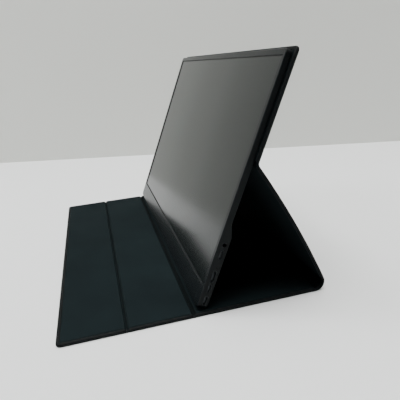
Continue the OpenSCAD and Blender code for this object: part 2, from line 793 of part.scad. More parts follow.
// The fold where the leg turns into the panel behind the monitor
module back_fold() color("#131516")
    bent(fold_y + back_fold_reach * cos(leg_angle) + back_fold_r * sin(leg_angle),
        fold_z - back_fold_reach * sin(leg_angle) + back_fold_r * cos(leg_angle),
        back_fold_r, back_fold_r + fold_t, 180 - screen_lean + bend_gap,
        270 - leg_angle - bend_gap, cover_w);

rear_housing();
front_frame();
screen_panel();
diffuser_sheet();
light_guide();
reflector_sheet();
light_strip();
steel_back_plate();
panel_board();
panel_flexes();
signal_ribbon();
main_board();
board_shield();
board_screws();
data_sockets();
service_socket();
video_socket();
sound_socket();
speaker_left();
speaker_right();
button_board();
side_switches();
button_cable();
power_button();
menu_rocker();
back_panel_skin();
back_panel_board();
back_panel_lining();
holding_magnets();
back_fold();
leg_skin();
leg_board();
leg_lining();
spine_upper();
spine_lower();
spine_board();
rear_skin();
rear_board();
rear_lining();
middle_crease();
middle_skin();
middle_board();
middle_lining();
front_crease();
front_skin();
front_board();
front_lining();
flap_magnets();
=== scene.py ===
import math

import bmesh
import bpy
from mathutils import Matrix, Vector, noise


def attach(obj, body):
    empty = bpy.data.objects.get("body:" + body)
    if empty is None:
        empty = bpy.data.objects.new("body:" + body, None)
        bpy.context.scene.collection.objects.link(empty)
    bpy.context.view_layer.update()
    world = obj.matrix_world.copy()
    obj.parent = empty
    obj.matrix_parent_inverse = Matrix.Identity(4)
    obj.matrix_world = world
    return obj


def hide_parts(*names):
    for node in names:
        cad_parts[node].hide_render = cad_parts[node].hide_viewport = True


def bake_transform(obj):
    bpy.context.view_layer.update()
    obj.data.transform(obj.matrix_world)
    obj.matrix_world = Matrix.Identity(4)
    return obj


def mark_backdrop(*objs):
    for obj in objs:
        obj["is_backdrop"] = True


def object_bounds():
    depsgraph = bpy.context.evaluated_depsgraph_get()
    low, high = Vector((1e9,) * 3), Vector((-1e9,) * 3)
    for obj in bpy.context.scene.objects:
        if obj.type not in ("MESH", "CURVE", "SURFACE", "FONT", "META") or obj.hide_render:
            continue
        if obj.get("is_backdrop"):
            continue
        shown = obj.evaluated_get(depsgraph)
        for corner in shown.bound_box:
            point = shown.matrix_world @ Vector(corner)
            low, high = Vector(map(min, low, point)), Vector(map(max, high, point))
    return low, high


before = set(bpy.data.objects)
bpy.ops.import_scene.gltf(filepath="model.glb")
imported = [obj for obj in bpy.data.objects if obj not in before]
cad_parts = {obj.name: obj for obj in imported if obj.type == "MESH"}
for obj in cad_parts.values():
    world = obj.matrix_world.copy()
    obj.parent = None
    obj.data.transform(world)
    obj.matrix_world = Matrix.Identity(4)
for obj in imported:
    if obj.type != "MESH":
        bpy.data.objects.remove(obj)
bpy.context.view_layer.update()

# Camera. It stands low at the monitor's right side, as the photographer did, and is
# rolled a little. Its place and lens were fitted to the corners of the object.
camera_place = Vector((0.4829, -0.0644, 0.2101))
camera_yaw = math.radians(76.46)
camera_rise = math.radians(18.65)
camera_roll = math.radians(-4.54)
focal_pixels = 417.5
picture_pixels = 400
sensor_mm = 36

toward_camera = Vector((math.sin(camera_yaw) * math.cos(camera_rise),
                        -math.cos(camera_yaw) * math.cos(camera_rise),
                        math.sin(camera_rise)))
level_right = Vector((math.cos(camera_yaw), math.sin(camera_yaw), 0))
level_up = toward_camera.cross(level_right)
camera_right = math.cos(camera_roll) * level_right + math.sin(camera_roll) * level_up
camera_up = -math.sin(camera_roll) * level_right + math.cos(camera_roll) * level_up

camera = bpy.data.objects.new("camera", bpy.data.cameras.new("camera"))
bpy.context.scene.collection.objects.link(camera)
turn = Matrix((camera_right, camera_up, toward_camera)).transposed()
camera.matrix_world = Matrix.Translation(camera_place) @ turn.to_4x4()
camera.data.sensor_width = sensor_mm
camera.data.lens = focal_pixels / picture_pixels * sensor_mm
camera.data.clip_start = 0.01
camera.data.clip_end = 50
bpy.context.scene.camera = camera


# Table and wall. A pale matt table top runs back to a pale painted wall, which the
# screen mirrors at a grazing angle; both are plain planes and not part of the object.
# The wall is clear from behind, so that the object can be seen from that side too.
def new_material(name):
    material = bpy.data.materials.new(name)
    material.use_nodes = True
    nodes, links = material.node_tree.nodes, material.node_tree.links
    return material, nodes, links, nodes["Principled BSDF"]


def new_piece(name, verts, faces, materials, smooth=True):
    mesh = bpy.data.meshes.new(name)
    mesh.from_pydata([tuple(v) for v in verts], [], faces)
    mesh.validate()
    tidy = bmesh.new()
    tidy.from_mesh(mesh)
    bmesh.ops.recalc_face_normals(tidy, faces=tidy.faces)
    tidy.to_mesh(mesh)
    tidy.free()
    for material in materials:
        mesh.materials.append(material)
    for polygon in mesh.polygons:
        polygon.use_smooth = smooth
    piece = bpy.data.objects.new(name, mesh)
    bpy.context.scene.collection.objects.link(piece)
    return piece


def pale_surface(name, colour, mottle):
    material, nodes, links, shader = new_material(name)
    cloud = nodes.new("ShaderNodeTexNoise")
    cloud.inputs["Scale"].default_value = 1.3
    cloud.inputs["Detail"].default_value = 3
    ramp = nodes.new("ShaderNodeValToRGB")
    ramp.color_ramp.elements[0].color = (*[c * (1 - mottle) for c in colour], 1)
    ramp.color_ramp.elements[1].color = (*colour, 1)
    links.new(cloud.outputs["Fac"], ramp.inputs["Fac"])
    links.new(ramp.outputs["Color"], shader.inputs["Base Color"])
    shader.inputs["Roughness"].default_value = 0.75
    return material


table_colour = (0.86, 0.88, 0.89)
wall_colour = (0.80, 0.81, 0.77)
wall_left = Vector((-0.637, -0.296, 0))
wall_right = Vector((-0.312, 0.598, 0))
wall_run = (wall_right - wall_left).normalized()
wall_half = 6.0
wall_height = 4.0
table_reach = 6.0

floor = new_piece("table_top", [(-table_reach, -table_reach, 0), (table_reach, -table_reach, 0),
                                (table_reach, table_reach, 0), (-table_reach, table_reach, 0)],
                  [(0, 1, 2, 3)], [pale_surface("table_paint", table_colour, 0.04)])
wall_middle = (wall_left + wall_right) / 2
wall_paint = pale_surface("wall_paint", wall_colour, 0.03)
nodes, links = wall_paint.node_tree.nodes, wall_paint.node_tree.links
side = nodes.new("ShaderNodeNewGeometry")
clear = nodes.new("ShaderNodeBsdfTransparent")
from_behind = nodes.new("ShaderNodeMixShader")
links.new(side.outputs["Backfacing"], from_behind.inputs[0])
links.new(nodes["Principled BSDF"].outputs["BSDF"], from_behind.inputs[1])
links.new(clear.outputs["BSDF"], from_behind.inputs[2])
links.new(from_behind.outputs["Shader"], nodes["Material Output"].inputs["Surface"])
wall_a = wall_middle - wall_run * wall_half
wall_b = wall_middle + wall_run * wall_half
lift = Vector((0, 0, wall_height))
wall = new_piece("wall", [wall_a, wall_b, wall_b + lift, wall_a + lift],
                 [(0, 1, 2, 3)], [wall_paint])
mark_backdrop(floor, wall)


# Light. A broad ceiling light, a soft window light from the left front, and the room's
# own light, pale on the left and dark on the right, so the side toward the camera is dim.
def soft_lamp(name, place, aim, width, height, watts, colour):
    lamp = bpy.data.lights.new(name, "AREA")
    lamp.shape = "RECTANGLE"
    lamp.size = width
    lamp.size_y = height
    lamp.energy = watts
    lamp.color = colour
    stand = bpy.data.objects.new(name, lamp)
    stand.location = place
    stand.rotation_mode = "QUATERNION"
    stand.rotation_quaternion = (Vector(aim) - Vector(place)).to_track_quat("-Z", "Y")
    bpy.context.scene.collection.objects.link(stand)


soft_lamp("window_light", (-1.2, -1.4, 1.3), (0, 0, 0.1), 1.4, 1.4, 34, (0.96, 0.98, 1.0))
soft_lamp("ceiling_light", (-0.3, 0.0, 3.2), (-0.3, 0.0, 0), 3.0, 3.0, 300, (1.0, 0.99, 0.97))

room = bpy.data.worlds.new("room")
bpy.context.scene.world = room
room.use_nodes = True
nodes, links = room.node_tree.nodes, room.node_tree.links
room_light = nodes["Background"]
direction = nodes.new("ShaderNodeTexCoord")
axes = nodes.new("ShaderNodeSeparateXYZ")
side_share = nodes.new("ShaderNodeMapRange")
side_share.inputs["From Min"].default_value = -0.35
side_share.inputs["From Max"].default_value = 0.15
tone = nodes.new("ShaderNodeValToRGB")
tone.color_ramp.elements[0].color = (0.62, 0.63, 0.63, 1)
tone.color_ramp.elements[1].color = (0.022, 0.025, 0.027, 1)
links.new(direction.outputs["Generated"], axes.inputs["Vector"])
links.new(axes.outputs["X"], side_share.inputs["Value"])
links.new(side_share.outputs["Result"], tone.inputs["Fac"])
path = nodes.new("ShaderNodeLightPath")
seen = nodes.new("ShaderNodeMix")
seen.data_type = "RGBA"
seen.inputs["B"].default_value = (0.80, 0.81, 0.79, 1)
links.new(path.outputs["Is Camera Ray"], seen.inputs["Factor"])
links.new(tone.outputs["Color"], seen.inputs["A"])
links.new(seen.outputs["Result"], room_light.inputs["Color"])
room_light.inputs["Strength"].default_value = 0.7


# Leather of the cover. Thin black imitation leather with a fine grain is glued over
# fibre boards and turned in over their edges; each stiff panel is one shallow tray.
monitor_w = 0.355
monitor_h = 0.224
thin_t = 0.006
thick_t = 0.010
cover_t = 0.0028
overhang = 0.00375
hem_w = 0.0032
cover_corner = 0.0045
flap_w = 0.0576
crease_w = 0.0018
crease_t = 0.0012
groove_w = 0.0042
fold_t = 0.0016
screen_lean = math.radians(23)
foot_back = 0.0026
foot_gap = 0.0003
fold_up = 0.1338
leg_len = 0.1433
spine_r = 0.009
back_fold_r = 0.0035

cover_w = monitor_w + 2 * overhang
foot_y = 2 * flap_w + foot_back
foot_z = cover_t + foot_gap + thick_t * math.sin(screen_lean)
back_out = thin_t + cover_t
fold_y = foot_y + fold_up * math.sin(screen_lean) + back_out * math.cos(screen_lean)
fold_z = foot_z + fold_up * math.cos(screen_lean) - back_out * math.sin(screen_lean)
leg_angle = math.asin(fold_z / leg_len)
corner_y = fold_y + leg_len * math.cos(leg_angle)
spine_turn = math.pi - leg_angle
spine_reach = spine_r * math.tan(spine_turn / 2)
rear_end_y = corner_y - spine_reach
back_fold_turn = math.pi / 2 - leg_angle + screen_lean
back_fold_reach = back_fold_r * math.tan(back_fold_turn / 2)
middle_y = (rear_end_y + spine_r) / 2       # the cover's front edge lies this far before Y = 0
board_slant = (groove_w - crease_w) / 2
square_end = 0.0009


def laid(start_y, start_z, angle):
    """The place of a panel: its outer face down, from its start, tilted up by angle."""
    return Matrix.Translation((0, start_y - middle_y, start_z)) @ Matrix.Rotation(angle, 4, "X")


# Each panel: place, length, lap and floor of its start and its end, and its free end
panels = {
    "front": (laid(0, 0, 0), flap_w - crease_w / 2, None, (board_slant, crease_t)),
    "middle": (laid(flap_w + crease_w / 2, 0, 0), flap_w - crease_w,
               (board_slant, crease_t), (board_slant, crease_t)),
    "rear": (laid(2 * flap_w + crease_w / 2, 0, 0), rear_end_y - 2 * flap_w - crease_w / 2,
             (board_slant, crease_t), (square_end, fold_t)),
    "leg": (laid(corner_y - spine_reach * math.cos(leg_angle), spine_reach * math.sin(leg_angle),
                 spine_turn), leg_len - spine_reach - back_fold_reach,
            (square_end, fold_t), (square_end, fold_t)),
    "back_panel": (laid(fold_y + back_fold_reach * math.sin(screen_lean),
                        fold_z + back_fold_reach * math.cos(screen_lean),
                        math.pi / 2 - screen_lean),
                   monitor_h + overhang - fold_up - back_fold_reach, (square_end, fold_t), None),
}
panel_body = {"front": "front_flap", "middle": "middle_flap", "rear": "rear_base",
              "leg": "leg", "back_panel": "monitor"}
leg_bow = 0.0024            # how far the leg bulges outwards in its middle under its load


def bowed(name, y, length):
    """How far a panel lies outside its flat place at y; only the leg carries a load."""
    return -4 * leg_bow * (y / length) * (1 - y / length) if name == "leg" else 0


leather_edge = 0.0009       # radius of the leather where it turns over a board's edge
behind_edge = 0.0018        # first row of points behind that rounding
hem_step = 0.0005           # how far the hem stands above the ground of its tray
hem_near = (0.0001, 0.0003, 0.0005)     # rows of points beside the hem's step
hem_far = 0.0006
across_step = 0.012         # widest steps between points across and along the cover
along_step = 0.006
lip_end = 0.004             # where a panel is flat again beside a fold
lip_shape = [(0, 0), (0.25, 0.27), (0.5, 0.53), (0.75, 0.77), (0.95, 0.93), (1.15, 0.985), (1.45, 1)]


def lip_stations(fold):
    """Distances from a fold, close together where a panel's board slants down beside it."""
    return [fold[0] * s for s, _ in lip_shape] + [lip_end]


def spread(start, end, step):
    """Evenly spaced values from start to end, at most step apart, without the ends."""
    count = max(1, math.ceil((end - start) / step))
    return [start + (end - start) * i / count for i in range(1, count)]


def edge_steps(radius):
    return [radius * (1 - math.cos(math.radians(a))) for a in (0, 22, 42, 60, 76, 90)]


def edge_and_hem(last):
    """Distances in from an edge, close together where it rounds over and at the hem's step."""
    return (edge_steps(leather_edge) + [behind_edge] + [hem_w - d for d in reversed(hem_near)]
            + [hem_w + d for d in hem_near[:2]] + [hem_w + hem_far, last])


def half_stations(half):
    """Distances in from a side edge to the middle, close together at edge and hem."""
    near = edge_and_hem(hem_w + 2 * hem_far)
    return near + spread(near[-1], half, across_step) + [half]


def length_stations(length, start, end):
    """Distances along a panel, close together at its folds and at its free end."""
    def at_end(fold):
        return edge_and_hem(cover_corner) if fold is None else lip_stations(fold)
    first = at_end(start)
    last = [length - s for s in reversed(at_end(end))]
    return first + spread(first[-1], last[0], along_step) + last


def lip_height(y, length, start, end):
    """Highest that a panel's inner face reaches beside its folds."""
    height = cover_t
    for fold, away in ((start, y), (end, length - y)):
        if fold is None:
            continue
        lap, low = fold
        for (s0, h0), (s1, h1) in zip(lip_shape, lip_shape[1:]):
            if away <= lap * s1 + 1e-9:
                share = h0 + (h1 - h0) * max(0, away / lap - s0) / (s1 - s0)
                height = min(height, low + (cover_t - low) * share)
                break
    return height


def edge_distance(x, y, length, start, end):
    """Distance in from the panel's outline, with round corners at a free end."""
    side = cover_w / 2 - abs(x)
    distance = side
    for fold, away in ((start, y), (end, length - y)):
        if fold is not None:
            continue
        if side < cover_corner and away < cover_corner:
            distance = min(distance, cover_corner - math.hypot(cover_corner - side, cover_corner - away))
        else:
            distance = min(distance, away)
    return max(0, distance)


def row_half_width(y, length, start, end):
    half = cover_w / 2
    for fold, away in ((start, y), (end, length - y)):
        if fold is None and away < cover_corner:
            half -= cover_corner - math.sqrt(max(0, cover_corner ** 2 - (cover_corner - away) ** 2))
    return half


def rounded_drop(distance, radius):
    """How far a rounded edge has fallen at this distance in from it."""
    if distance >= radius:
        return 0
    return radius - math.sqrt(max(0, radius ** 2 - (radius - distance) ** 2))


def smooth_step(value):
    value = min(1, max(0, value))
    return value * value * (3 - 2 * value)


swell_fade = 0.02           # the unevenness fades out over this distance from an edge


def swell(x, y, seed, amount, inside):
    """Slight unevenness of glued leather or cloth, none at its edges."""
    fade = smooth_step(inside / swell_fade)
    return amount * fade * noise.noise(Vector((x * 17, y * 23, seed)))


def loft(rows):
    """Verts and faces through rows of points. Each row is a closed loop, and both ends are capped."""
    count = len(rows[0])
    verts = [p for row in rows for p in row]
    faces = []
    for r in range(len(rows) - 1):
        for i in range(count):
            j = (i + 1) % count
            faces.append((r * count + i, r * count + j, (r + 1) * count + j, (r + 1) * count + i))
    half = count // 2
    for base in (0, (len(rows) - 1) * count):
        for i in range(half - 1):
            faces.append((base + i, base + i + 1, base + count - 2 - i, base + count - 1 - i))
    return verts, faces


def fine_grain_group():
    """Small pebbled grain with a few soft creases, as a tone and a height."""
    group = bpy.data.node_groups.new("fine_leather_grain", "ShaderNodeTree")
    for name, value in (("Scale", 900.0), ("Crease", 30.0)):
        socket = group.interface.new_socket(name, in_out="INPUT", socket_type="NodeSocketFloat")
        socket.default_value = value
    for name in ("Tone", "Height"):
        group.interface.new_socket(name, in_out="OUTPUT", socket_type="NodeSocketFloat")
    nodes, links = group.nodes, group.links
    inlet, outlet = nodes.new("NodeGroupInput"), nodes.new("NodeGroupOutput")
    place = nodes.new("ShaderNodeTexCoord")
    pebbles = nodes.new("ShaderNodeTexVoronoi")
    pebbles.feature = "DISTANCE_TO_EDGE"
    creases = nodes.new("ShaderNodeTexNoise")
    creases.inputs["Detail"].default_value = 5
    links.new(place.outputs["Object"], pebbles.inputs["Vector"])
    links.new(place.outputs["Object"], creases.inputs["Vector"])
    links.new(inlet.outputs["Scale"], pebbles.inputs["Scale"])
    links.new(inlet.outputs["Crease"], creases.inputs["Scale"])
    rise = nodes.new("ShaderNodeMapRange")
    rise.inputs["From Max"].default_value = 0.25
    links.new(pebbles.outputs["Distance"], rise.inputs["Value"])
    both = nodes.new("ShaderNodeMath")
    both.operation = "MULTIPLY_ADD"
    both.inputs[1].default_value = 0.7
    links.new(rise.outputs["Result"], both.inputs[0])
    links.new(creases.outputs["Fac"], both.inputs[2])
    links.new(both.outputs["Value"], outlet.inputs["Height"])
    links.new(creases.outputs["Fac"], outlet.inputs["Tone"])
    return group


leather_grain = fine_grain_group()


def leather_material(name, dark, light, grain_size):
    material, nodes, links, shader = new_material(name)
    grain = nodes.new("ShaderNodeGroup")
    grain.node_tree = leather_grain
    grain.inputs["Scale"].default_value = grain_size
    grain.inputs["Crease"].default_value = 26
    ramp = nodes.new("ShaderNodeValToRGB")
    ramp.color_ramp.elements[0].position = 0.3
    ramp.color_ramp.elements[0].color = (*dark, 1)
    ramp.color_ramp.elements[1].position = 0.75
    ramp.color_ramp.elements[1].color = (*light, 1)
    gloss = nodes.new("ShaderNodeMapRange")
    gloss.inputs["To Min"].default_value = 0.60
    gloss.inputs["To Max"].default_value = 0.72
    bump = nodes.new("ShaderNodeBump")
    bump.inputs["Strength"].default_value = 0.35
    bump.inputs["Distance"].default_value = 0.0002
    links.new(grain.outputs["Tone"], ramp.inputs["Fac"])
    links.new(grain.outputs["Tone"], gloss.inputs["Value"])
    links.new(grain.outputs["Height"], bump.inputs["Height"])
    links.new(ramp.outputs["Color"], shader.inputs["Base Color"])
    links.new(gloss.outputs["Result"], shader.inputs["Roughness"])
    links.new(bump.outputs["Normal"], shader.inputs["Normal"])
    shader.inputs["Specular IOR Level"].default_value = 0.12
    return material


black_leather = leather_material("black_leather", (0.0018, 0.0028, 0.0031),
                                 (0.0034, 0.0050, 0.0054), 1100)

leather_swell = 0.00018     # on the panels that stand free; the others lie flat on the table
hem_slope = 0.0004
for name, (place, length, start, end) in panels.items():
    uneven = leather_swell if name in ("leg", "back_panel") else 0
    rows = []
    for y in length_stations(length, start, end):
        half = row_half_width(y, length, start, end)
        inward = [d for d in half_stations(half) if d <= half]
        xs = [-half + d for d in inward] + [half - d for d in reversed(inward[:-1])]
        top, under = [], []
        for x in xs:
            inside = edge_distance(x, y, length, start, end)
            fall = rounded_drop(inside, leather_edge)
            ground = hem_step * smooth_step((inside - hem_w + hem_slope) / hem_slope)
            high = min(cover_t - fall - ground, lip_height(y, length, start, end) - ground)
            low = fall + max(0, swell(x, y, len(name), uneven, inside) + uneven / 2 * (inside > swell_fade))
            top.append(place @ Vector((x, y, high + bowed(name, y, length))))
            under.append(place @ Vector((x, y, low + bowed(name, y, length))))
        rows.append(top + under[::-1])
    verts, faces = loft(rows)
    skin = new_piece(name + "_leather", verts, faces, [black_leather])
    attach(skin, panel_body[name])
    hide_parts(name + "_skin")


# Lining of the cover. A dark green-grey microfibre cloth with a short nap, glued onto the
# boards inside the turned hem; it dips into the creases between the boards.
def nap_group():
    """Short brushed fibres and a slow change of tone where the nap lies one way or another."""
    group = bpy.data.node_groups.new("short_nap", "ShaderNodeTree")
    for name in ("Tone", "Height"):
        group.interface.new_socket(name, in_out="OUTPUT", socket_type="NodeSocketFloat")
    nodes, links = group.nodes, group.links
    outlet = nodes.new("NodeGroupOutput")
    place = nodes.new("ShaderNodeTexCoord")
    fibres = nodes.new("ShaderNodeTexNoise")
    fibres.inputs["Scale"].default_value = 2600
    fibres.inputs["Detail"].default_value = 2
    patches = nodes.new("ShaderNodeTexNoise")
    patches.inputs["Scale"].default_value = 16
    patches.inputs["Detail"].default_value = 4
    for texture in (fibres, patches):
        links.new(place.outputs["Object"], texture.inputs["Vector"])
    mix = nodes.new("ShaderNodeMath")
    mix.operation = "MULTIPLY_ADD"
    mix.inputs[1].default_value = 0.35
    links.new(fibres.outputs["Fac"], mix.inputs[0])
    links.new(patches.outputs["Fac"], mix.inputs[2])
    links.new(mix.outputs["Value"], outlet.inputs["Tone"])
    links.new(fibres.outputs["Fac"], outlet.inputs["Height"])
    return group


nap = nap_group()


def cloth_material(name, dark, light, nap_depth):
    material, nodes, links, shader = new_material(name)
    pile = nodes.new("ShaderNodeGroup")
    pile.node_tree = nap
    ramp = nodes.new("ShaderNodeValToRGB")
    ramp.color_ramp.elements[0].position = 0.4
    ramp.color_ramp.elements[0].color = (*dark, 1)
    ramp.color_ramp.elements[1].position = 0.95
    ramp.color_ramp.elements[1].color = (*light, 1)
    bump = nodes.new("ShaderNodeBump")
    bump.inputs["Strength"].default_value = 0.3
    bump.inputs["Distance"].default_value = nap_depth
    links.new(pile.outputs["Tone"], ramp.inputs["Fac"])
    links.new(pile.outputs["Height"], bump.inputs["Height"])
    links.new(ramp.outputs["Color"], shader.inputs["Base Color"])
    links.new(bump.outputs["Normal"], shader.inputs["Normal"])
    shader.inputs["Roughness"].default_value = 0.9
    shader.inputs["Specular IOR Level"].default_value = 0.06
    return material


lining_material = cloth_material("microfibre_lining", (0.0042, 0.0076, 0.0088),
                                 (0.0076, 0.0130, 0.0145), 0.00015)
# A darker copy of the lining: painted shade in the creases and folds, and on the lips beside the middle
# crease.
painted_shade_lining = cloth_material("painted_shade_lining", (0.0016, 0.0030, 0.0034),
                                (0.0030, 0.0048, 0.0053), 0.00005)

lining_sink = 0.00045       # how far the lining's edge is tucked below the hem
lining_gap = 0.00008
lining_t = 0.0001
lining_swell = 0.0001
lining_edge = 0.0005        # width over which the edge bends down
for name, (place, length, start, end) in panels.items():
    inset = hem_w + lining_gap
    half = cover_w / 2 - inset
    edge = [0, 0.00012, 0.0003, 0.00055, 0.001]
    inward = edge + spread(edge[-1], half, 0.009) + [half]
    xs = [-half + d for d in inward] + [half - d for d in reversed(inward[:-1])]
    first = [inset + d for d in edge] if start is None else lip_stations(start)
    last = ([length - inset - d for d in reversed(edge)] if end is None
            else [length - s for s in reversed(lip_stations(end))])
    rows = []
    for y in first + spread(first[-1], last[0], along_step) + last:
        top, under = [], []
        for x in xs:
            inside = half - abs(x)
            if start is None:
                inside = min(inside, y - inset)
            if end is None:
                inside = min(inside, length - inset - y)
            tuck = lining_sink * (1 - min(1, inside / lining_edge)) ** 2
            lip = lip_height(y, length, start, end)
            level = min(cover_t - tuck, lip) + min(0, swell(x, y, 7 + len(name), lining_swell, inside))
            low = min(cover_t - lining_sink, lip) - lining_t
            top.append(place @ Vector((x, y, level + bowed(name, y, length))))
            under.append(place @ Vector((x, y, low + bowed(name, y, length))))
        rows.append(top + under[::-1])
    verts, faces = loft(rows)
    sheet = new_piece(name + "_cloth", verts, faces, [lining_material, painted_shade_lining])
    # Faces on the lips beside the middle crease take the darker lining, as painted shade.
    for face in sheet.data.polygons:
        spot = place.inverted() @ face.center
        in_start = name == "rear" and spot.y < start[0]
        in_end = name == "middle" and length - spot.y < end[0]
        face.material_index = int(in_start or in_end)
    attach(sheet, panel_body[name])
    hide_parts(name + "_lining")


# Creases and folds. Between the boards only the leather and the lining are left, pressed
# together; they bend there, in two straight creases, round the rear and behind the screen.
strip_dip = 0.0002          # depth of the furrow where hem and lining meet
shade_line_half = 0.0005          # half the width of the painted shade line in the front crease
strip_swell = 0.0001


def soft_strip(name, thickness, stations, place_of, ripple):
    """A strip across the cover. place_of gives the point at a station and height."""
    half = cover_w / 2
    edge = min(leather_edge, thickness / 2)
    inward = half_stations(half)
    xs = [-half + d for d in inward] + [half - d for d in reversed(inward[:-1])]
    rows = []
    for station in stations:
        top, under = [], []
        for x in xs:
            inside = half - abs(x)
            fall = rounded_drop(inside, edge)
            dip = strip_dip * max(0, 1 - abs(inside - hem_w) / hem_slope)
            wave = swell(x, station * 3, 3, ripple, inside)
            top.append(place_of(x, station, thickness - fall - dip))
            under.append(place_of(x, station, fall + max(0, wave)))
        rows.append(top + under[::-1])
    verts, faces = loft(rows)
    # The lining faces of every strip take the darker lining, painted shade in the crease or fold.
    strip = new_piece(name, verts, faces, [black_leather, painted_shade_lining, lining_material])
    count = len(xs)
    lined = {i for i, x in enumerate(xs) if half - abs(x) > hem_w - 0.0001}
    for face in strip.data.polygons:
        if all(v % (2 * count) in lined for v in face.vertices):
            face.material_index = 1
    return strip


def crease_place(at):
    return lambda x, s, h: Vector((x, at + s - middle_y, h))


def bend_place(centre_y, centre_z, radius, inward):
    """Points on an arc about the X axis; height counts inward or outward from the radius."""
    def place(x, angle, h):
        reach = radius - h if inward else radius + h
        return Vector((x, centre_y - middle_y + reach * math.cos(angle), centre_z + reach * math.sin(angle)))
    return place


across_crease = [crease_w * (i / 6 - 0.5) for i in range(7)]
for name, at, bodies in (("middle_crease", 2 * flap_w, ("middle_flap", "rear_base")),
                         ("front_crease", flap_w, ("front_flap", "middle_flap"))):
    place_of = crease_place(at)
    strip = soft_strip(name + "_strip", crease_t, across_crease, place_of, 0)
    # In the front crease only a narrow middle line keeps the painted shade; the rest takes the plain lining.
    for face in strip.data.polygons:
        beside = abs(face.center.y - place_of(0, 0, 0).y) > shade_line_half
        if name == "front_crease" and face.material_index == 1 and beside:
            face.material_index = 2
    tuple(place_of(0, across_crease[0], crease_t / 2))
    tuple(place_of(0, across_crease[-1], crease_t / 2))
    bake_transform(strip)
    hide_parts(name)

spine_start = -math.pi / 2
spine_middle = spine_start + spine_turn / 2
spine_end = spine_start + spine_turn
spine_place = bend_place(rear_end_y, spine_r, spine_r, True)
for name, low, high, bodies in (("spine_lower", spine_start, spine_middle, ("rear_base", "spine")),
                                ("spine_upper", spine_middle, spine_end, ("spine", "leg"))):
    angles = [low + (high - low) * i / 16 for i in range(17)]
    strip = soft_strip(name + "_wrap", fold_t, angles, spine_place, strip_swell)
    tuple(spine_place(0, low, fold_t / 2))
    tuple(spine_place(0, high, fold_t / 2))
    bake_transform(strip)
    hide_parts(name)

fold_centre_y = fold_y + back_fold_reach * math.cos(leg_angle) + back_fold_r * math.sin(leg_angle)
fold_centre_z = fold_z - back_fold_reach * math.sin(leg_angle) + back_fold_r * math.cos(leg_angle)
fold_place = bend_place(fold_centre_y, fold_centre_z, back_fold_r, False)
fold_low = 1.5 * math.pi - leg_angle
fold_high = math.pi - screen_lean
angles = [fold_low + (fold_high - fold_low) * i / 14 for i in range(15)]
strip = soft_strip("back_fold_strip", fold_t, angles, fold_place, 0)
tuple(fold_place(0, fold_low, fold_t / 2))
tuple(fold_place(0, fold_high, fold_t / 2))
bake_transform(strip)
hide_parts("back_fold")


# Boards and magnets inside the cover. Grey-brown pressed fibre board, die cut, with
# plated magnets let into the front flap and into the panel behind the screen.
def speckled_material(name, dark, light, scale, rough, metal=0.0):
    material, nodes, links, shader = new_material(name)
    place = nodes.new("ShaderNodeTexCoord")
    speck = nodes.new("ShaderNodeTexNoise")
    speck.inputs["Scale"].default_value = scale
    speck.inputs["Detail"].default_value = 6
    ramp = nodes.new("ShaderNodeValToRGB")
    ramp.color_ramp.elements[0].position = 0.35
    ramp.color_ramp.elements[0].color = (*dark, 1)
    ramp.color_ramp.elements[1].position = 0.7
    ramp.color_ramp.elements[1].color = (*light, 1)
    bump = nodes.new("ShaderNodeBump")
    bump.inputs["Strength"].default_value = 0.2
    bump.inputs["Distance"].default_value = 0.0001
    links.new(place.outputs["Object"], speck.inputs["Vector"])
    links.new(speck.outputs["Fac"], ramp.inputs["Fac"])
    links.new(speck.outputs["Fac"], bump.inputs["Height"])
    links.new(ramp.outputs["Color"], shader.inputs["Base Color"])
    links.new(bump.outputs["Normal"], shader.inputs["Normal"])
    shader.inputs["Roughness"].default_value = rough
    shader.inputs["Metallic"].default_value = metal
    return material


def dress(material, *node_names):
    for node_name in node_names:
        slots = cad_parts[node_name].data.materials
        slots.clear()
        slots.append(material)


fibre_board = speckled_material("fibre_board", (0.22, 0.19, 0.14), (0.34, 0.30, 0.23), 900, 0.9)
skin_t = 0.0006             # leather under the leg's board
board_top = 0.0022          # inner face of that board, above the leather's outer face
place, length, start, end = panels["leg"]
half = cover_w / 2 - hem_w
rows = []
for y in [skin_t] + spread(skin_t, length - skin_t, along_step) + [length - skin_t]:
    lift = bowed("leg", y, length)
    corners = ((-half, board_top), (half, board_top), (half, skin_t), (-half, skin_t))
    rows.append([place @ Vector((x, y, z + lift)) for x, z in corners])
verts, faces = loft(rows)
slab = new_piece("leg_bowed_board", verts, faces, [fibre_board], smooth=False)
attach(slab, "leg")
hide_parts("leg_board")

plated_steel = speckled_material("plated_steel", (0.48, 0.49, 0.50), (0.60, 0.61, 0.62), 300, 0.32, 1.0)
dress(fibre_board, "back_panel_board", "rear_board", "middle_board", "front_board", "spine_board")
dress(plated_steel, "holding_magnets", "flap_magnets")


# Rear housing. A moulded tray of black plastic with a fine spark-eroded grain, deep at
# the bottom, where the boards and sockets are, and thin behind the screen.
def mould_grain_group():
    """The fine pits that a textured mould leaves as a height, and patches from handling as a tone."""
    group = bpy.data.node_groups.new("mould_grain", "ShaderNodeTree")
    for name in ("Tone", "Height"):
        group.interface.new_socket(name, in_out="OUTPUT", socket_type="NodeSocketFloat")
    nodes, links = group.nodes, group.links
    outlet = nodes.new("NodeGroupOutput")
    place = nodes.new("ShaderNodeTexCoord")
    pits = nodes.new("ShaderNodeTexNoise")
    pits.inputs["Scale"].default_value = 2200
    pits.inputs["Detail"].default_value = 3
    handling = nodes.new("ShaderNodeTexNoise")
    handling.inputs["Scale"].default_value = 11
    handling.inputs["Detail"].default_value = 5
    for texture in (pits, handling):
        links.new(place.outputs["Object"], texture.inputs["Vector"])
    links.new(handling.outputs["Fac"], outlet.inputs["Tone"])
    links.new(pits.outputs["Fac"], outlet.inputs["Height"])
    return group


mould_grain = mould_grain_group()


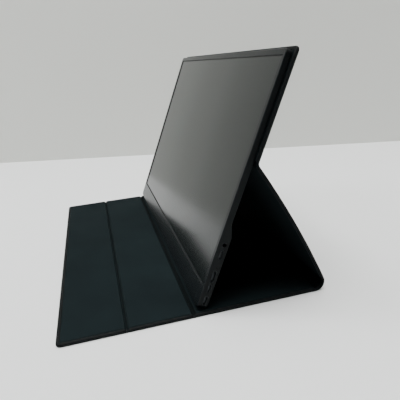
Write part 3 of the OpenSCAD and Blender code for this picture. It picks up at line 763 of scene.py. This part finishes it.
def plastic_material(name, dark, light, rough_low, rough_high, pit_depth, shine):
    material, nodes, links, shader = new_material(name)
    grain = nodes.new("ShaderNodeGroup")
    grain.node_tree = mould_grain
    ramp = nodes.new("ShaderNodeValToRGB")
    ramp.color_ramp.elements[0].position = 0.35
    ramp.color_ramp.elements[0].color = (*dark, 1)
    ramp.color_ramp.elements[1].position = 0.7
    ramp.color_ramp.elements[1].color = (*light, 1)
    gloss = nodes.new("ShaderNodeMapRange")
    gloss.inputs["To Min"].default_value = rough_low
    gloss.inputs["To Max"].default_value = rough_high
    bump = nodes.new("ShaderNodeBump")
    bump.inputs["Strength"].default_value = 0.25
    bump.inputs["Distance"].default_value = pit_depth
    links.new(grain.outputs["Tone"], ramp.inputs["Fac"])
    links.new(grain.outputs["Tone"], gloss.inputs["Value"])
    links.new(grain.outputs["Height"], bump.inputs["Height"])
    links.new(ramp.outputs["Color"], shader.inputs["Base Color"])
    links.new(gloss.outputs["Result"], shader.inputs["Roughness"])
    links.new(bump.outputs["Normal"], shader.inputs["Normal"])
    shader.inputs["Specular IOR Level"].default_value = shine
    return material


housing_plastic = plastic_material("housing_plastic", (0.0018, 0.0029, 0.0033),
                                   (0.0032, 0.0047, 0.0052), 0.40, 0.52, 0.00008, 0.10)
dress(housing_plastic, "rear_housing")


# Sockets. Blackened steel shells round a dark tongue, and a black moulded body round the
# bore of the sound socket; all sit on the main board.
socket_steel = speckled_material("socket_steel", (0.016, 0.020, 0.022), (0.030, 0.035, 0.037), 500, 0.42,
                                 0.7)
dress(socket_steel, "data_sockets", "service_socket", "video_socket")
dark_plastic = plastic_material("dark_plastic", (0.004, 0.005, 0.006), (0.008, 0.009, 0.010),
                                0.4, 0.6, 0.00005, 0.2)
dress(dark_plastic, "sound_socket", "speaker_left", "speaker_right", "side_switches")


# Boards, light and cables inside the housing. They are closed in behind the screen, so
# their finishes are simple: green boards, white sheets, bare steel and amber film.
green_board = speckled_material("green_board", (0.012, 0.10, 0.045), (0.02, 0.15, 0.07), 700, 0.45)
white_sheet = speckled_material("white_sheet", (0.75, 0.75, 0.72), (0.86, 0.86, 0.83), 200, 0.5)
amber_film = speckled_material("amber_film", (0.30, 0.16, 0.05), (0.46, 0.27, 0.10), 400, 0.4)
dress(green_board, "panel_board", "main_board", "button_board")
dress(white_sheet, "diffuser_sheet", "light_guide", "reflector_sheet", "light_strip")
dress(plated_steel, "steel_back_plate", "board_shield", "board_screws")
dress(amber_film, "panel_flexes", "signal_ribbon", "button_cable")


# Screen. A liquid crystal panel under an anti-glare film: near black when it is off, with
# a soft blurred mirror image of the room; its edge is masked black.
bezel_t = 0.0008
bezel_side = 0.0047
bezel_top = 0.0049
chin_h = 0.0205
panel_lap = 0.0016
panel_gap = 0.00005         # between the frame and the panel behind it
panel_front = bezel_t + panel_gap
panel_edge = 0.0001         # bevel round the panel's front
panel_corner = 0.0004
panel_t = 0.0012
mask_w = 0.0009
on_monitor = (Matrix.Translation((0, foot_y - middle_y, foot_z))
              @ Matrix.Rotation(-screen_lean, 4, "X"))
window = (-monitor_w / 2 + bezel_side, chin_h, monitor_w / 2 - bezel_side, monitor_h - bezel_top)


def monitor_ring(rectangle, grow, radius, depth, arc_points=7):
    """A rounded rectangle, grown all round, at a depth behind the monitor's front."""
    left, low, right, high = rectangle
    left, low, right, high = left - grow, low - grow, right + grow, high + grow
    ring = []
    for x, z, first in ((right - radius, high - radius, 0), (left + radius, high - radius, 90),
                        (left + radius, low + radius, 180), (right - radius, low + radius, 270)):
        for i in range(arc_points):
            a = math.radians(first + 90 * i / (arc_points - 1))
            ring.append(on_monitor @ Vector((x + radius * math.cos(a), depth, z + radius * math.sin(a))))
    return ring


def ring_mesh(rings, close):
    """Verts and faces through rings, closed back to the first ring or capped at both ends."""
    count = len(rings[0])
    verts = [p for ring in rings for p in ring]
    faces = []
    for r in range(len(rings) if close else len(rings) - 1):
        nxt = (r + 1) % len(rings)
        for i in range(count):
            j = (i + 1) % count
            faces.append((r * count + i, r * count + j, nxt * count + j, nxt * count + i))
    if not close:
        faces.append(tuple(range(count)))
        faces.append(tuple(range((len(rings) - 1) * count, len(rings) * count)))
    return verts, faces


film, nodes, links, shader = new_material("anti_glare_screen")
place = nodes.new("ShaderNodeTexCoord")
sparkle = nodes.new("ShaderNodeTexNoise")
sparkle.inputs["Scale"].default_value = 1800
sparkle.inputs["Detail"].default_value = 2
haze = nodes.new("ShaderNodeTexNoise")
haze.inputs["Scale"].default_value = 7
haze.inputs["Detail"].default_value = 3
gloss = nodes.new("ShaderNodeMapRange")
gloss.inputs["To Min"].default_value = 0.14
gloss.inputs["To Max"].default_value = 0.17
tint = nodes.new("ShaderNodeValToRGB")
tint.color_ramp.elements[0].color = (0.004, 0.006, 0.006, 1)
tint.color_ramp.elements[1].color = (0.007, 0.009, 0.009, 1)
for texture in (sparkle, haze):
    links.new(place.outputs["Object"], texture.inputs["Vector"])
links.new(haze.outputs["Fac"], gloss.inputs["Value"])
links.new(sparkle.outputs["Fac"], tint.inputs["Fac"])
links.new(tint.outputs["Color"], shader.inputs["Base Color"])
links.new(gloss.outputs["Result"], shader.inputs["Roughness"])
shader.inputs["Specular IOR Level"].default_value = 0.20

mask_black = plastic_material("screen_mask", (0.003, 0.003, 0.004), (0.006, 0.006, 0.007), 0.5, 0.6,
                              0.00001, 0.1)
rings = [monitor_ring(window, panel_lap, panel_corner, panel_front + panel_t),
         monitor_ring(window, panel_lap, panel_corner, panel_front + panel_edge),
         monitor_ring(window, panel_lap - panel_edge, panel_corner, panel_front),
         monitor_ring(window, -mask_w, 0.0002, panel_front)]
verts, faces = ring_mesh(rings, close=False)
screen = new_piece("screen_glass", verts, faces, [mask_black, film], smooth=False)
screen.data.polygons[len(faces) - 1].material_index = 1
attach(screen, "monitor")
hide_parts("screen_panel")


# Front frame. A flat black plastic frame snapped onto the housing, narrow at the sides
# and top and broad at the chin, with a small bevel round the screen that catches light.
frame_plastic = plastic_material("frame_plastic", (0.0035, 0.0050, 0.0060),
                                 (0.0060, 0.0080, 0.0090), 0.23, 0.27, 0.00001, 0.12)
outline = (-monitor_w / 2, 0, monitor_w / 2, monitor_h)
monitor_corner = 0.0045
front_round = 0.0007
window_bevel = 0.0005
front_rim = 0.001           # where the flat front begins, in from the outer edge
bevel_rim = 0.0005          # and where it ends, out from the bevel
snap_in = 0.002             # how far in from the outer edge the frame's back reaches
back_clear = 0.00002        # between the frame's lip and the panel
rings = [monitor_ring(outline, 0, monitor_corner, bezel_t),
         monitor_ring(outline, 0, monitor_corner, front_round)]
for angle in (30, 60, 90):
    pull = front_round * (1 - math.cos(math.radians(angle)))
    rings.append(monitor_ring(outline, -pull, monitor_corner - pull,
                              front_round * (1 - math.sin(math.radians(angle)))))
rings += [monitor_ring(outline, -front_rim, monitor_corner - front_rim, 0),
          monitor_ring(window, window_bevel + bevel_rim, 0.001, 0),
          monitor_ring(window, window_bevel, 0.0006, 0),
          monitor_ring(window, window_bevel * 0.3, 0.0004, window_bevel * 0.45),
          monitor_ring(window, 0, 0.0003, window_bevel),
          monitor_ring(window, 0, 0.0003, panel_front - back_clear),
          monitor_ring(outline, -snap_in, monitor_corner - snap_in, bezel_t)]
verts, faces = ring_mesh(rings, close=True)
front = new_piece("front_bezel", verts, faces, [frame_plastic], smooth=False)
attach(front, "monitor")
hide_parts("front_frame")


# Power button and menu rocker. Small black caps that stand half a millimetre out of the
# left side, each with a matt top.
button_plastic = plastic_material("button_plastic", (0.004, 0.005, 0.006), (0.008, 0.009, 0.010),
                                  0.40, 0.5, 0.00005, 0.3)
dress(button_plastic, "power_button", "menu_rocker")


low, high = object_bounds()
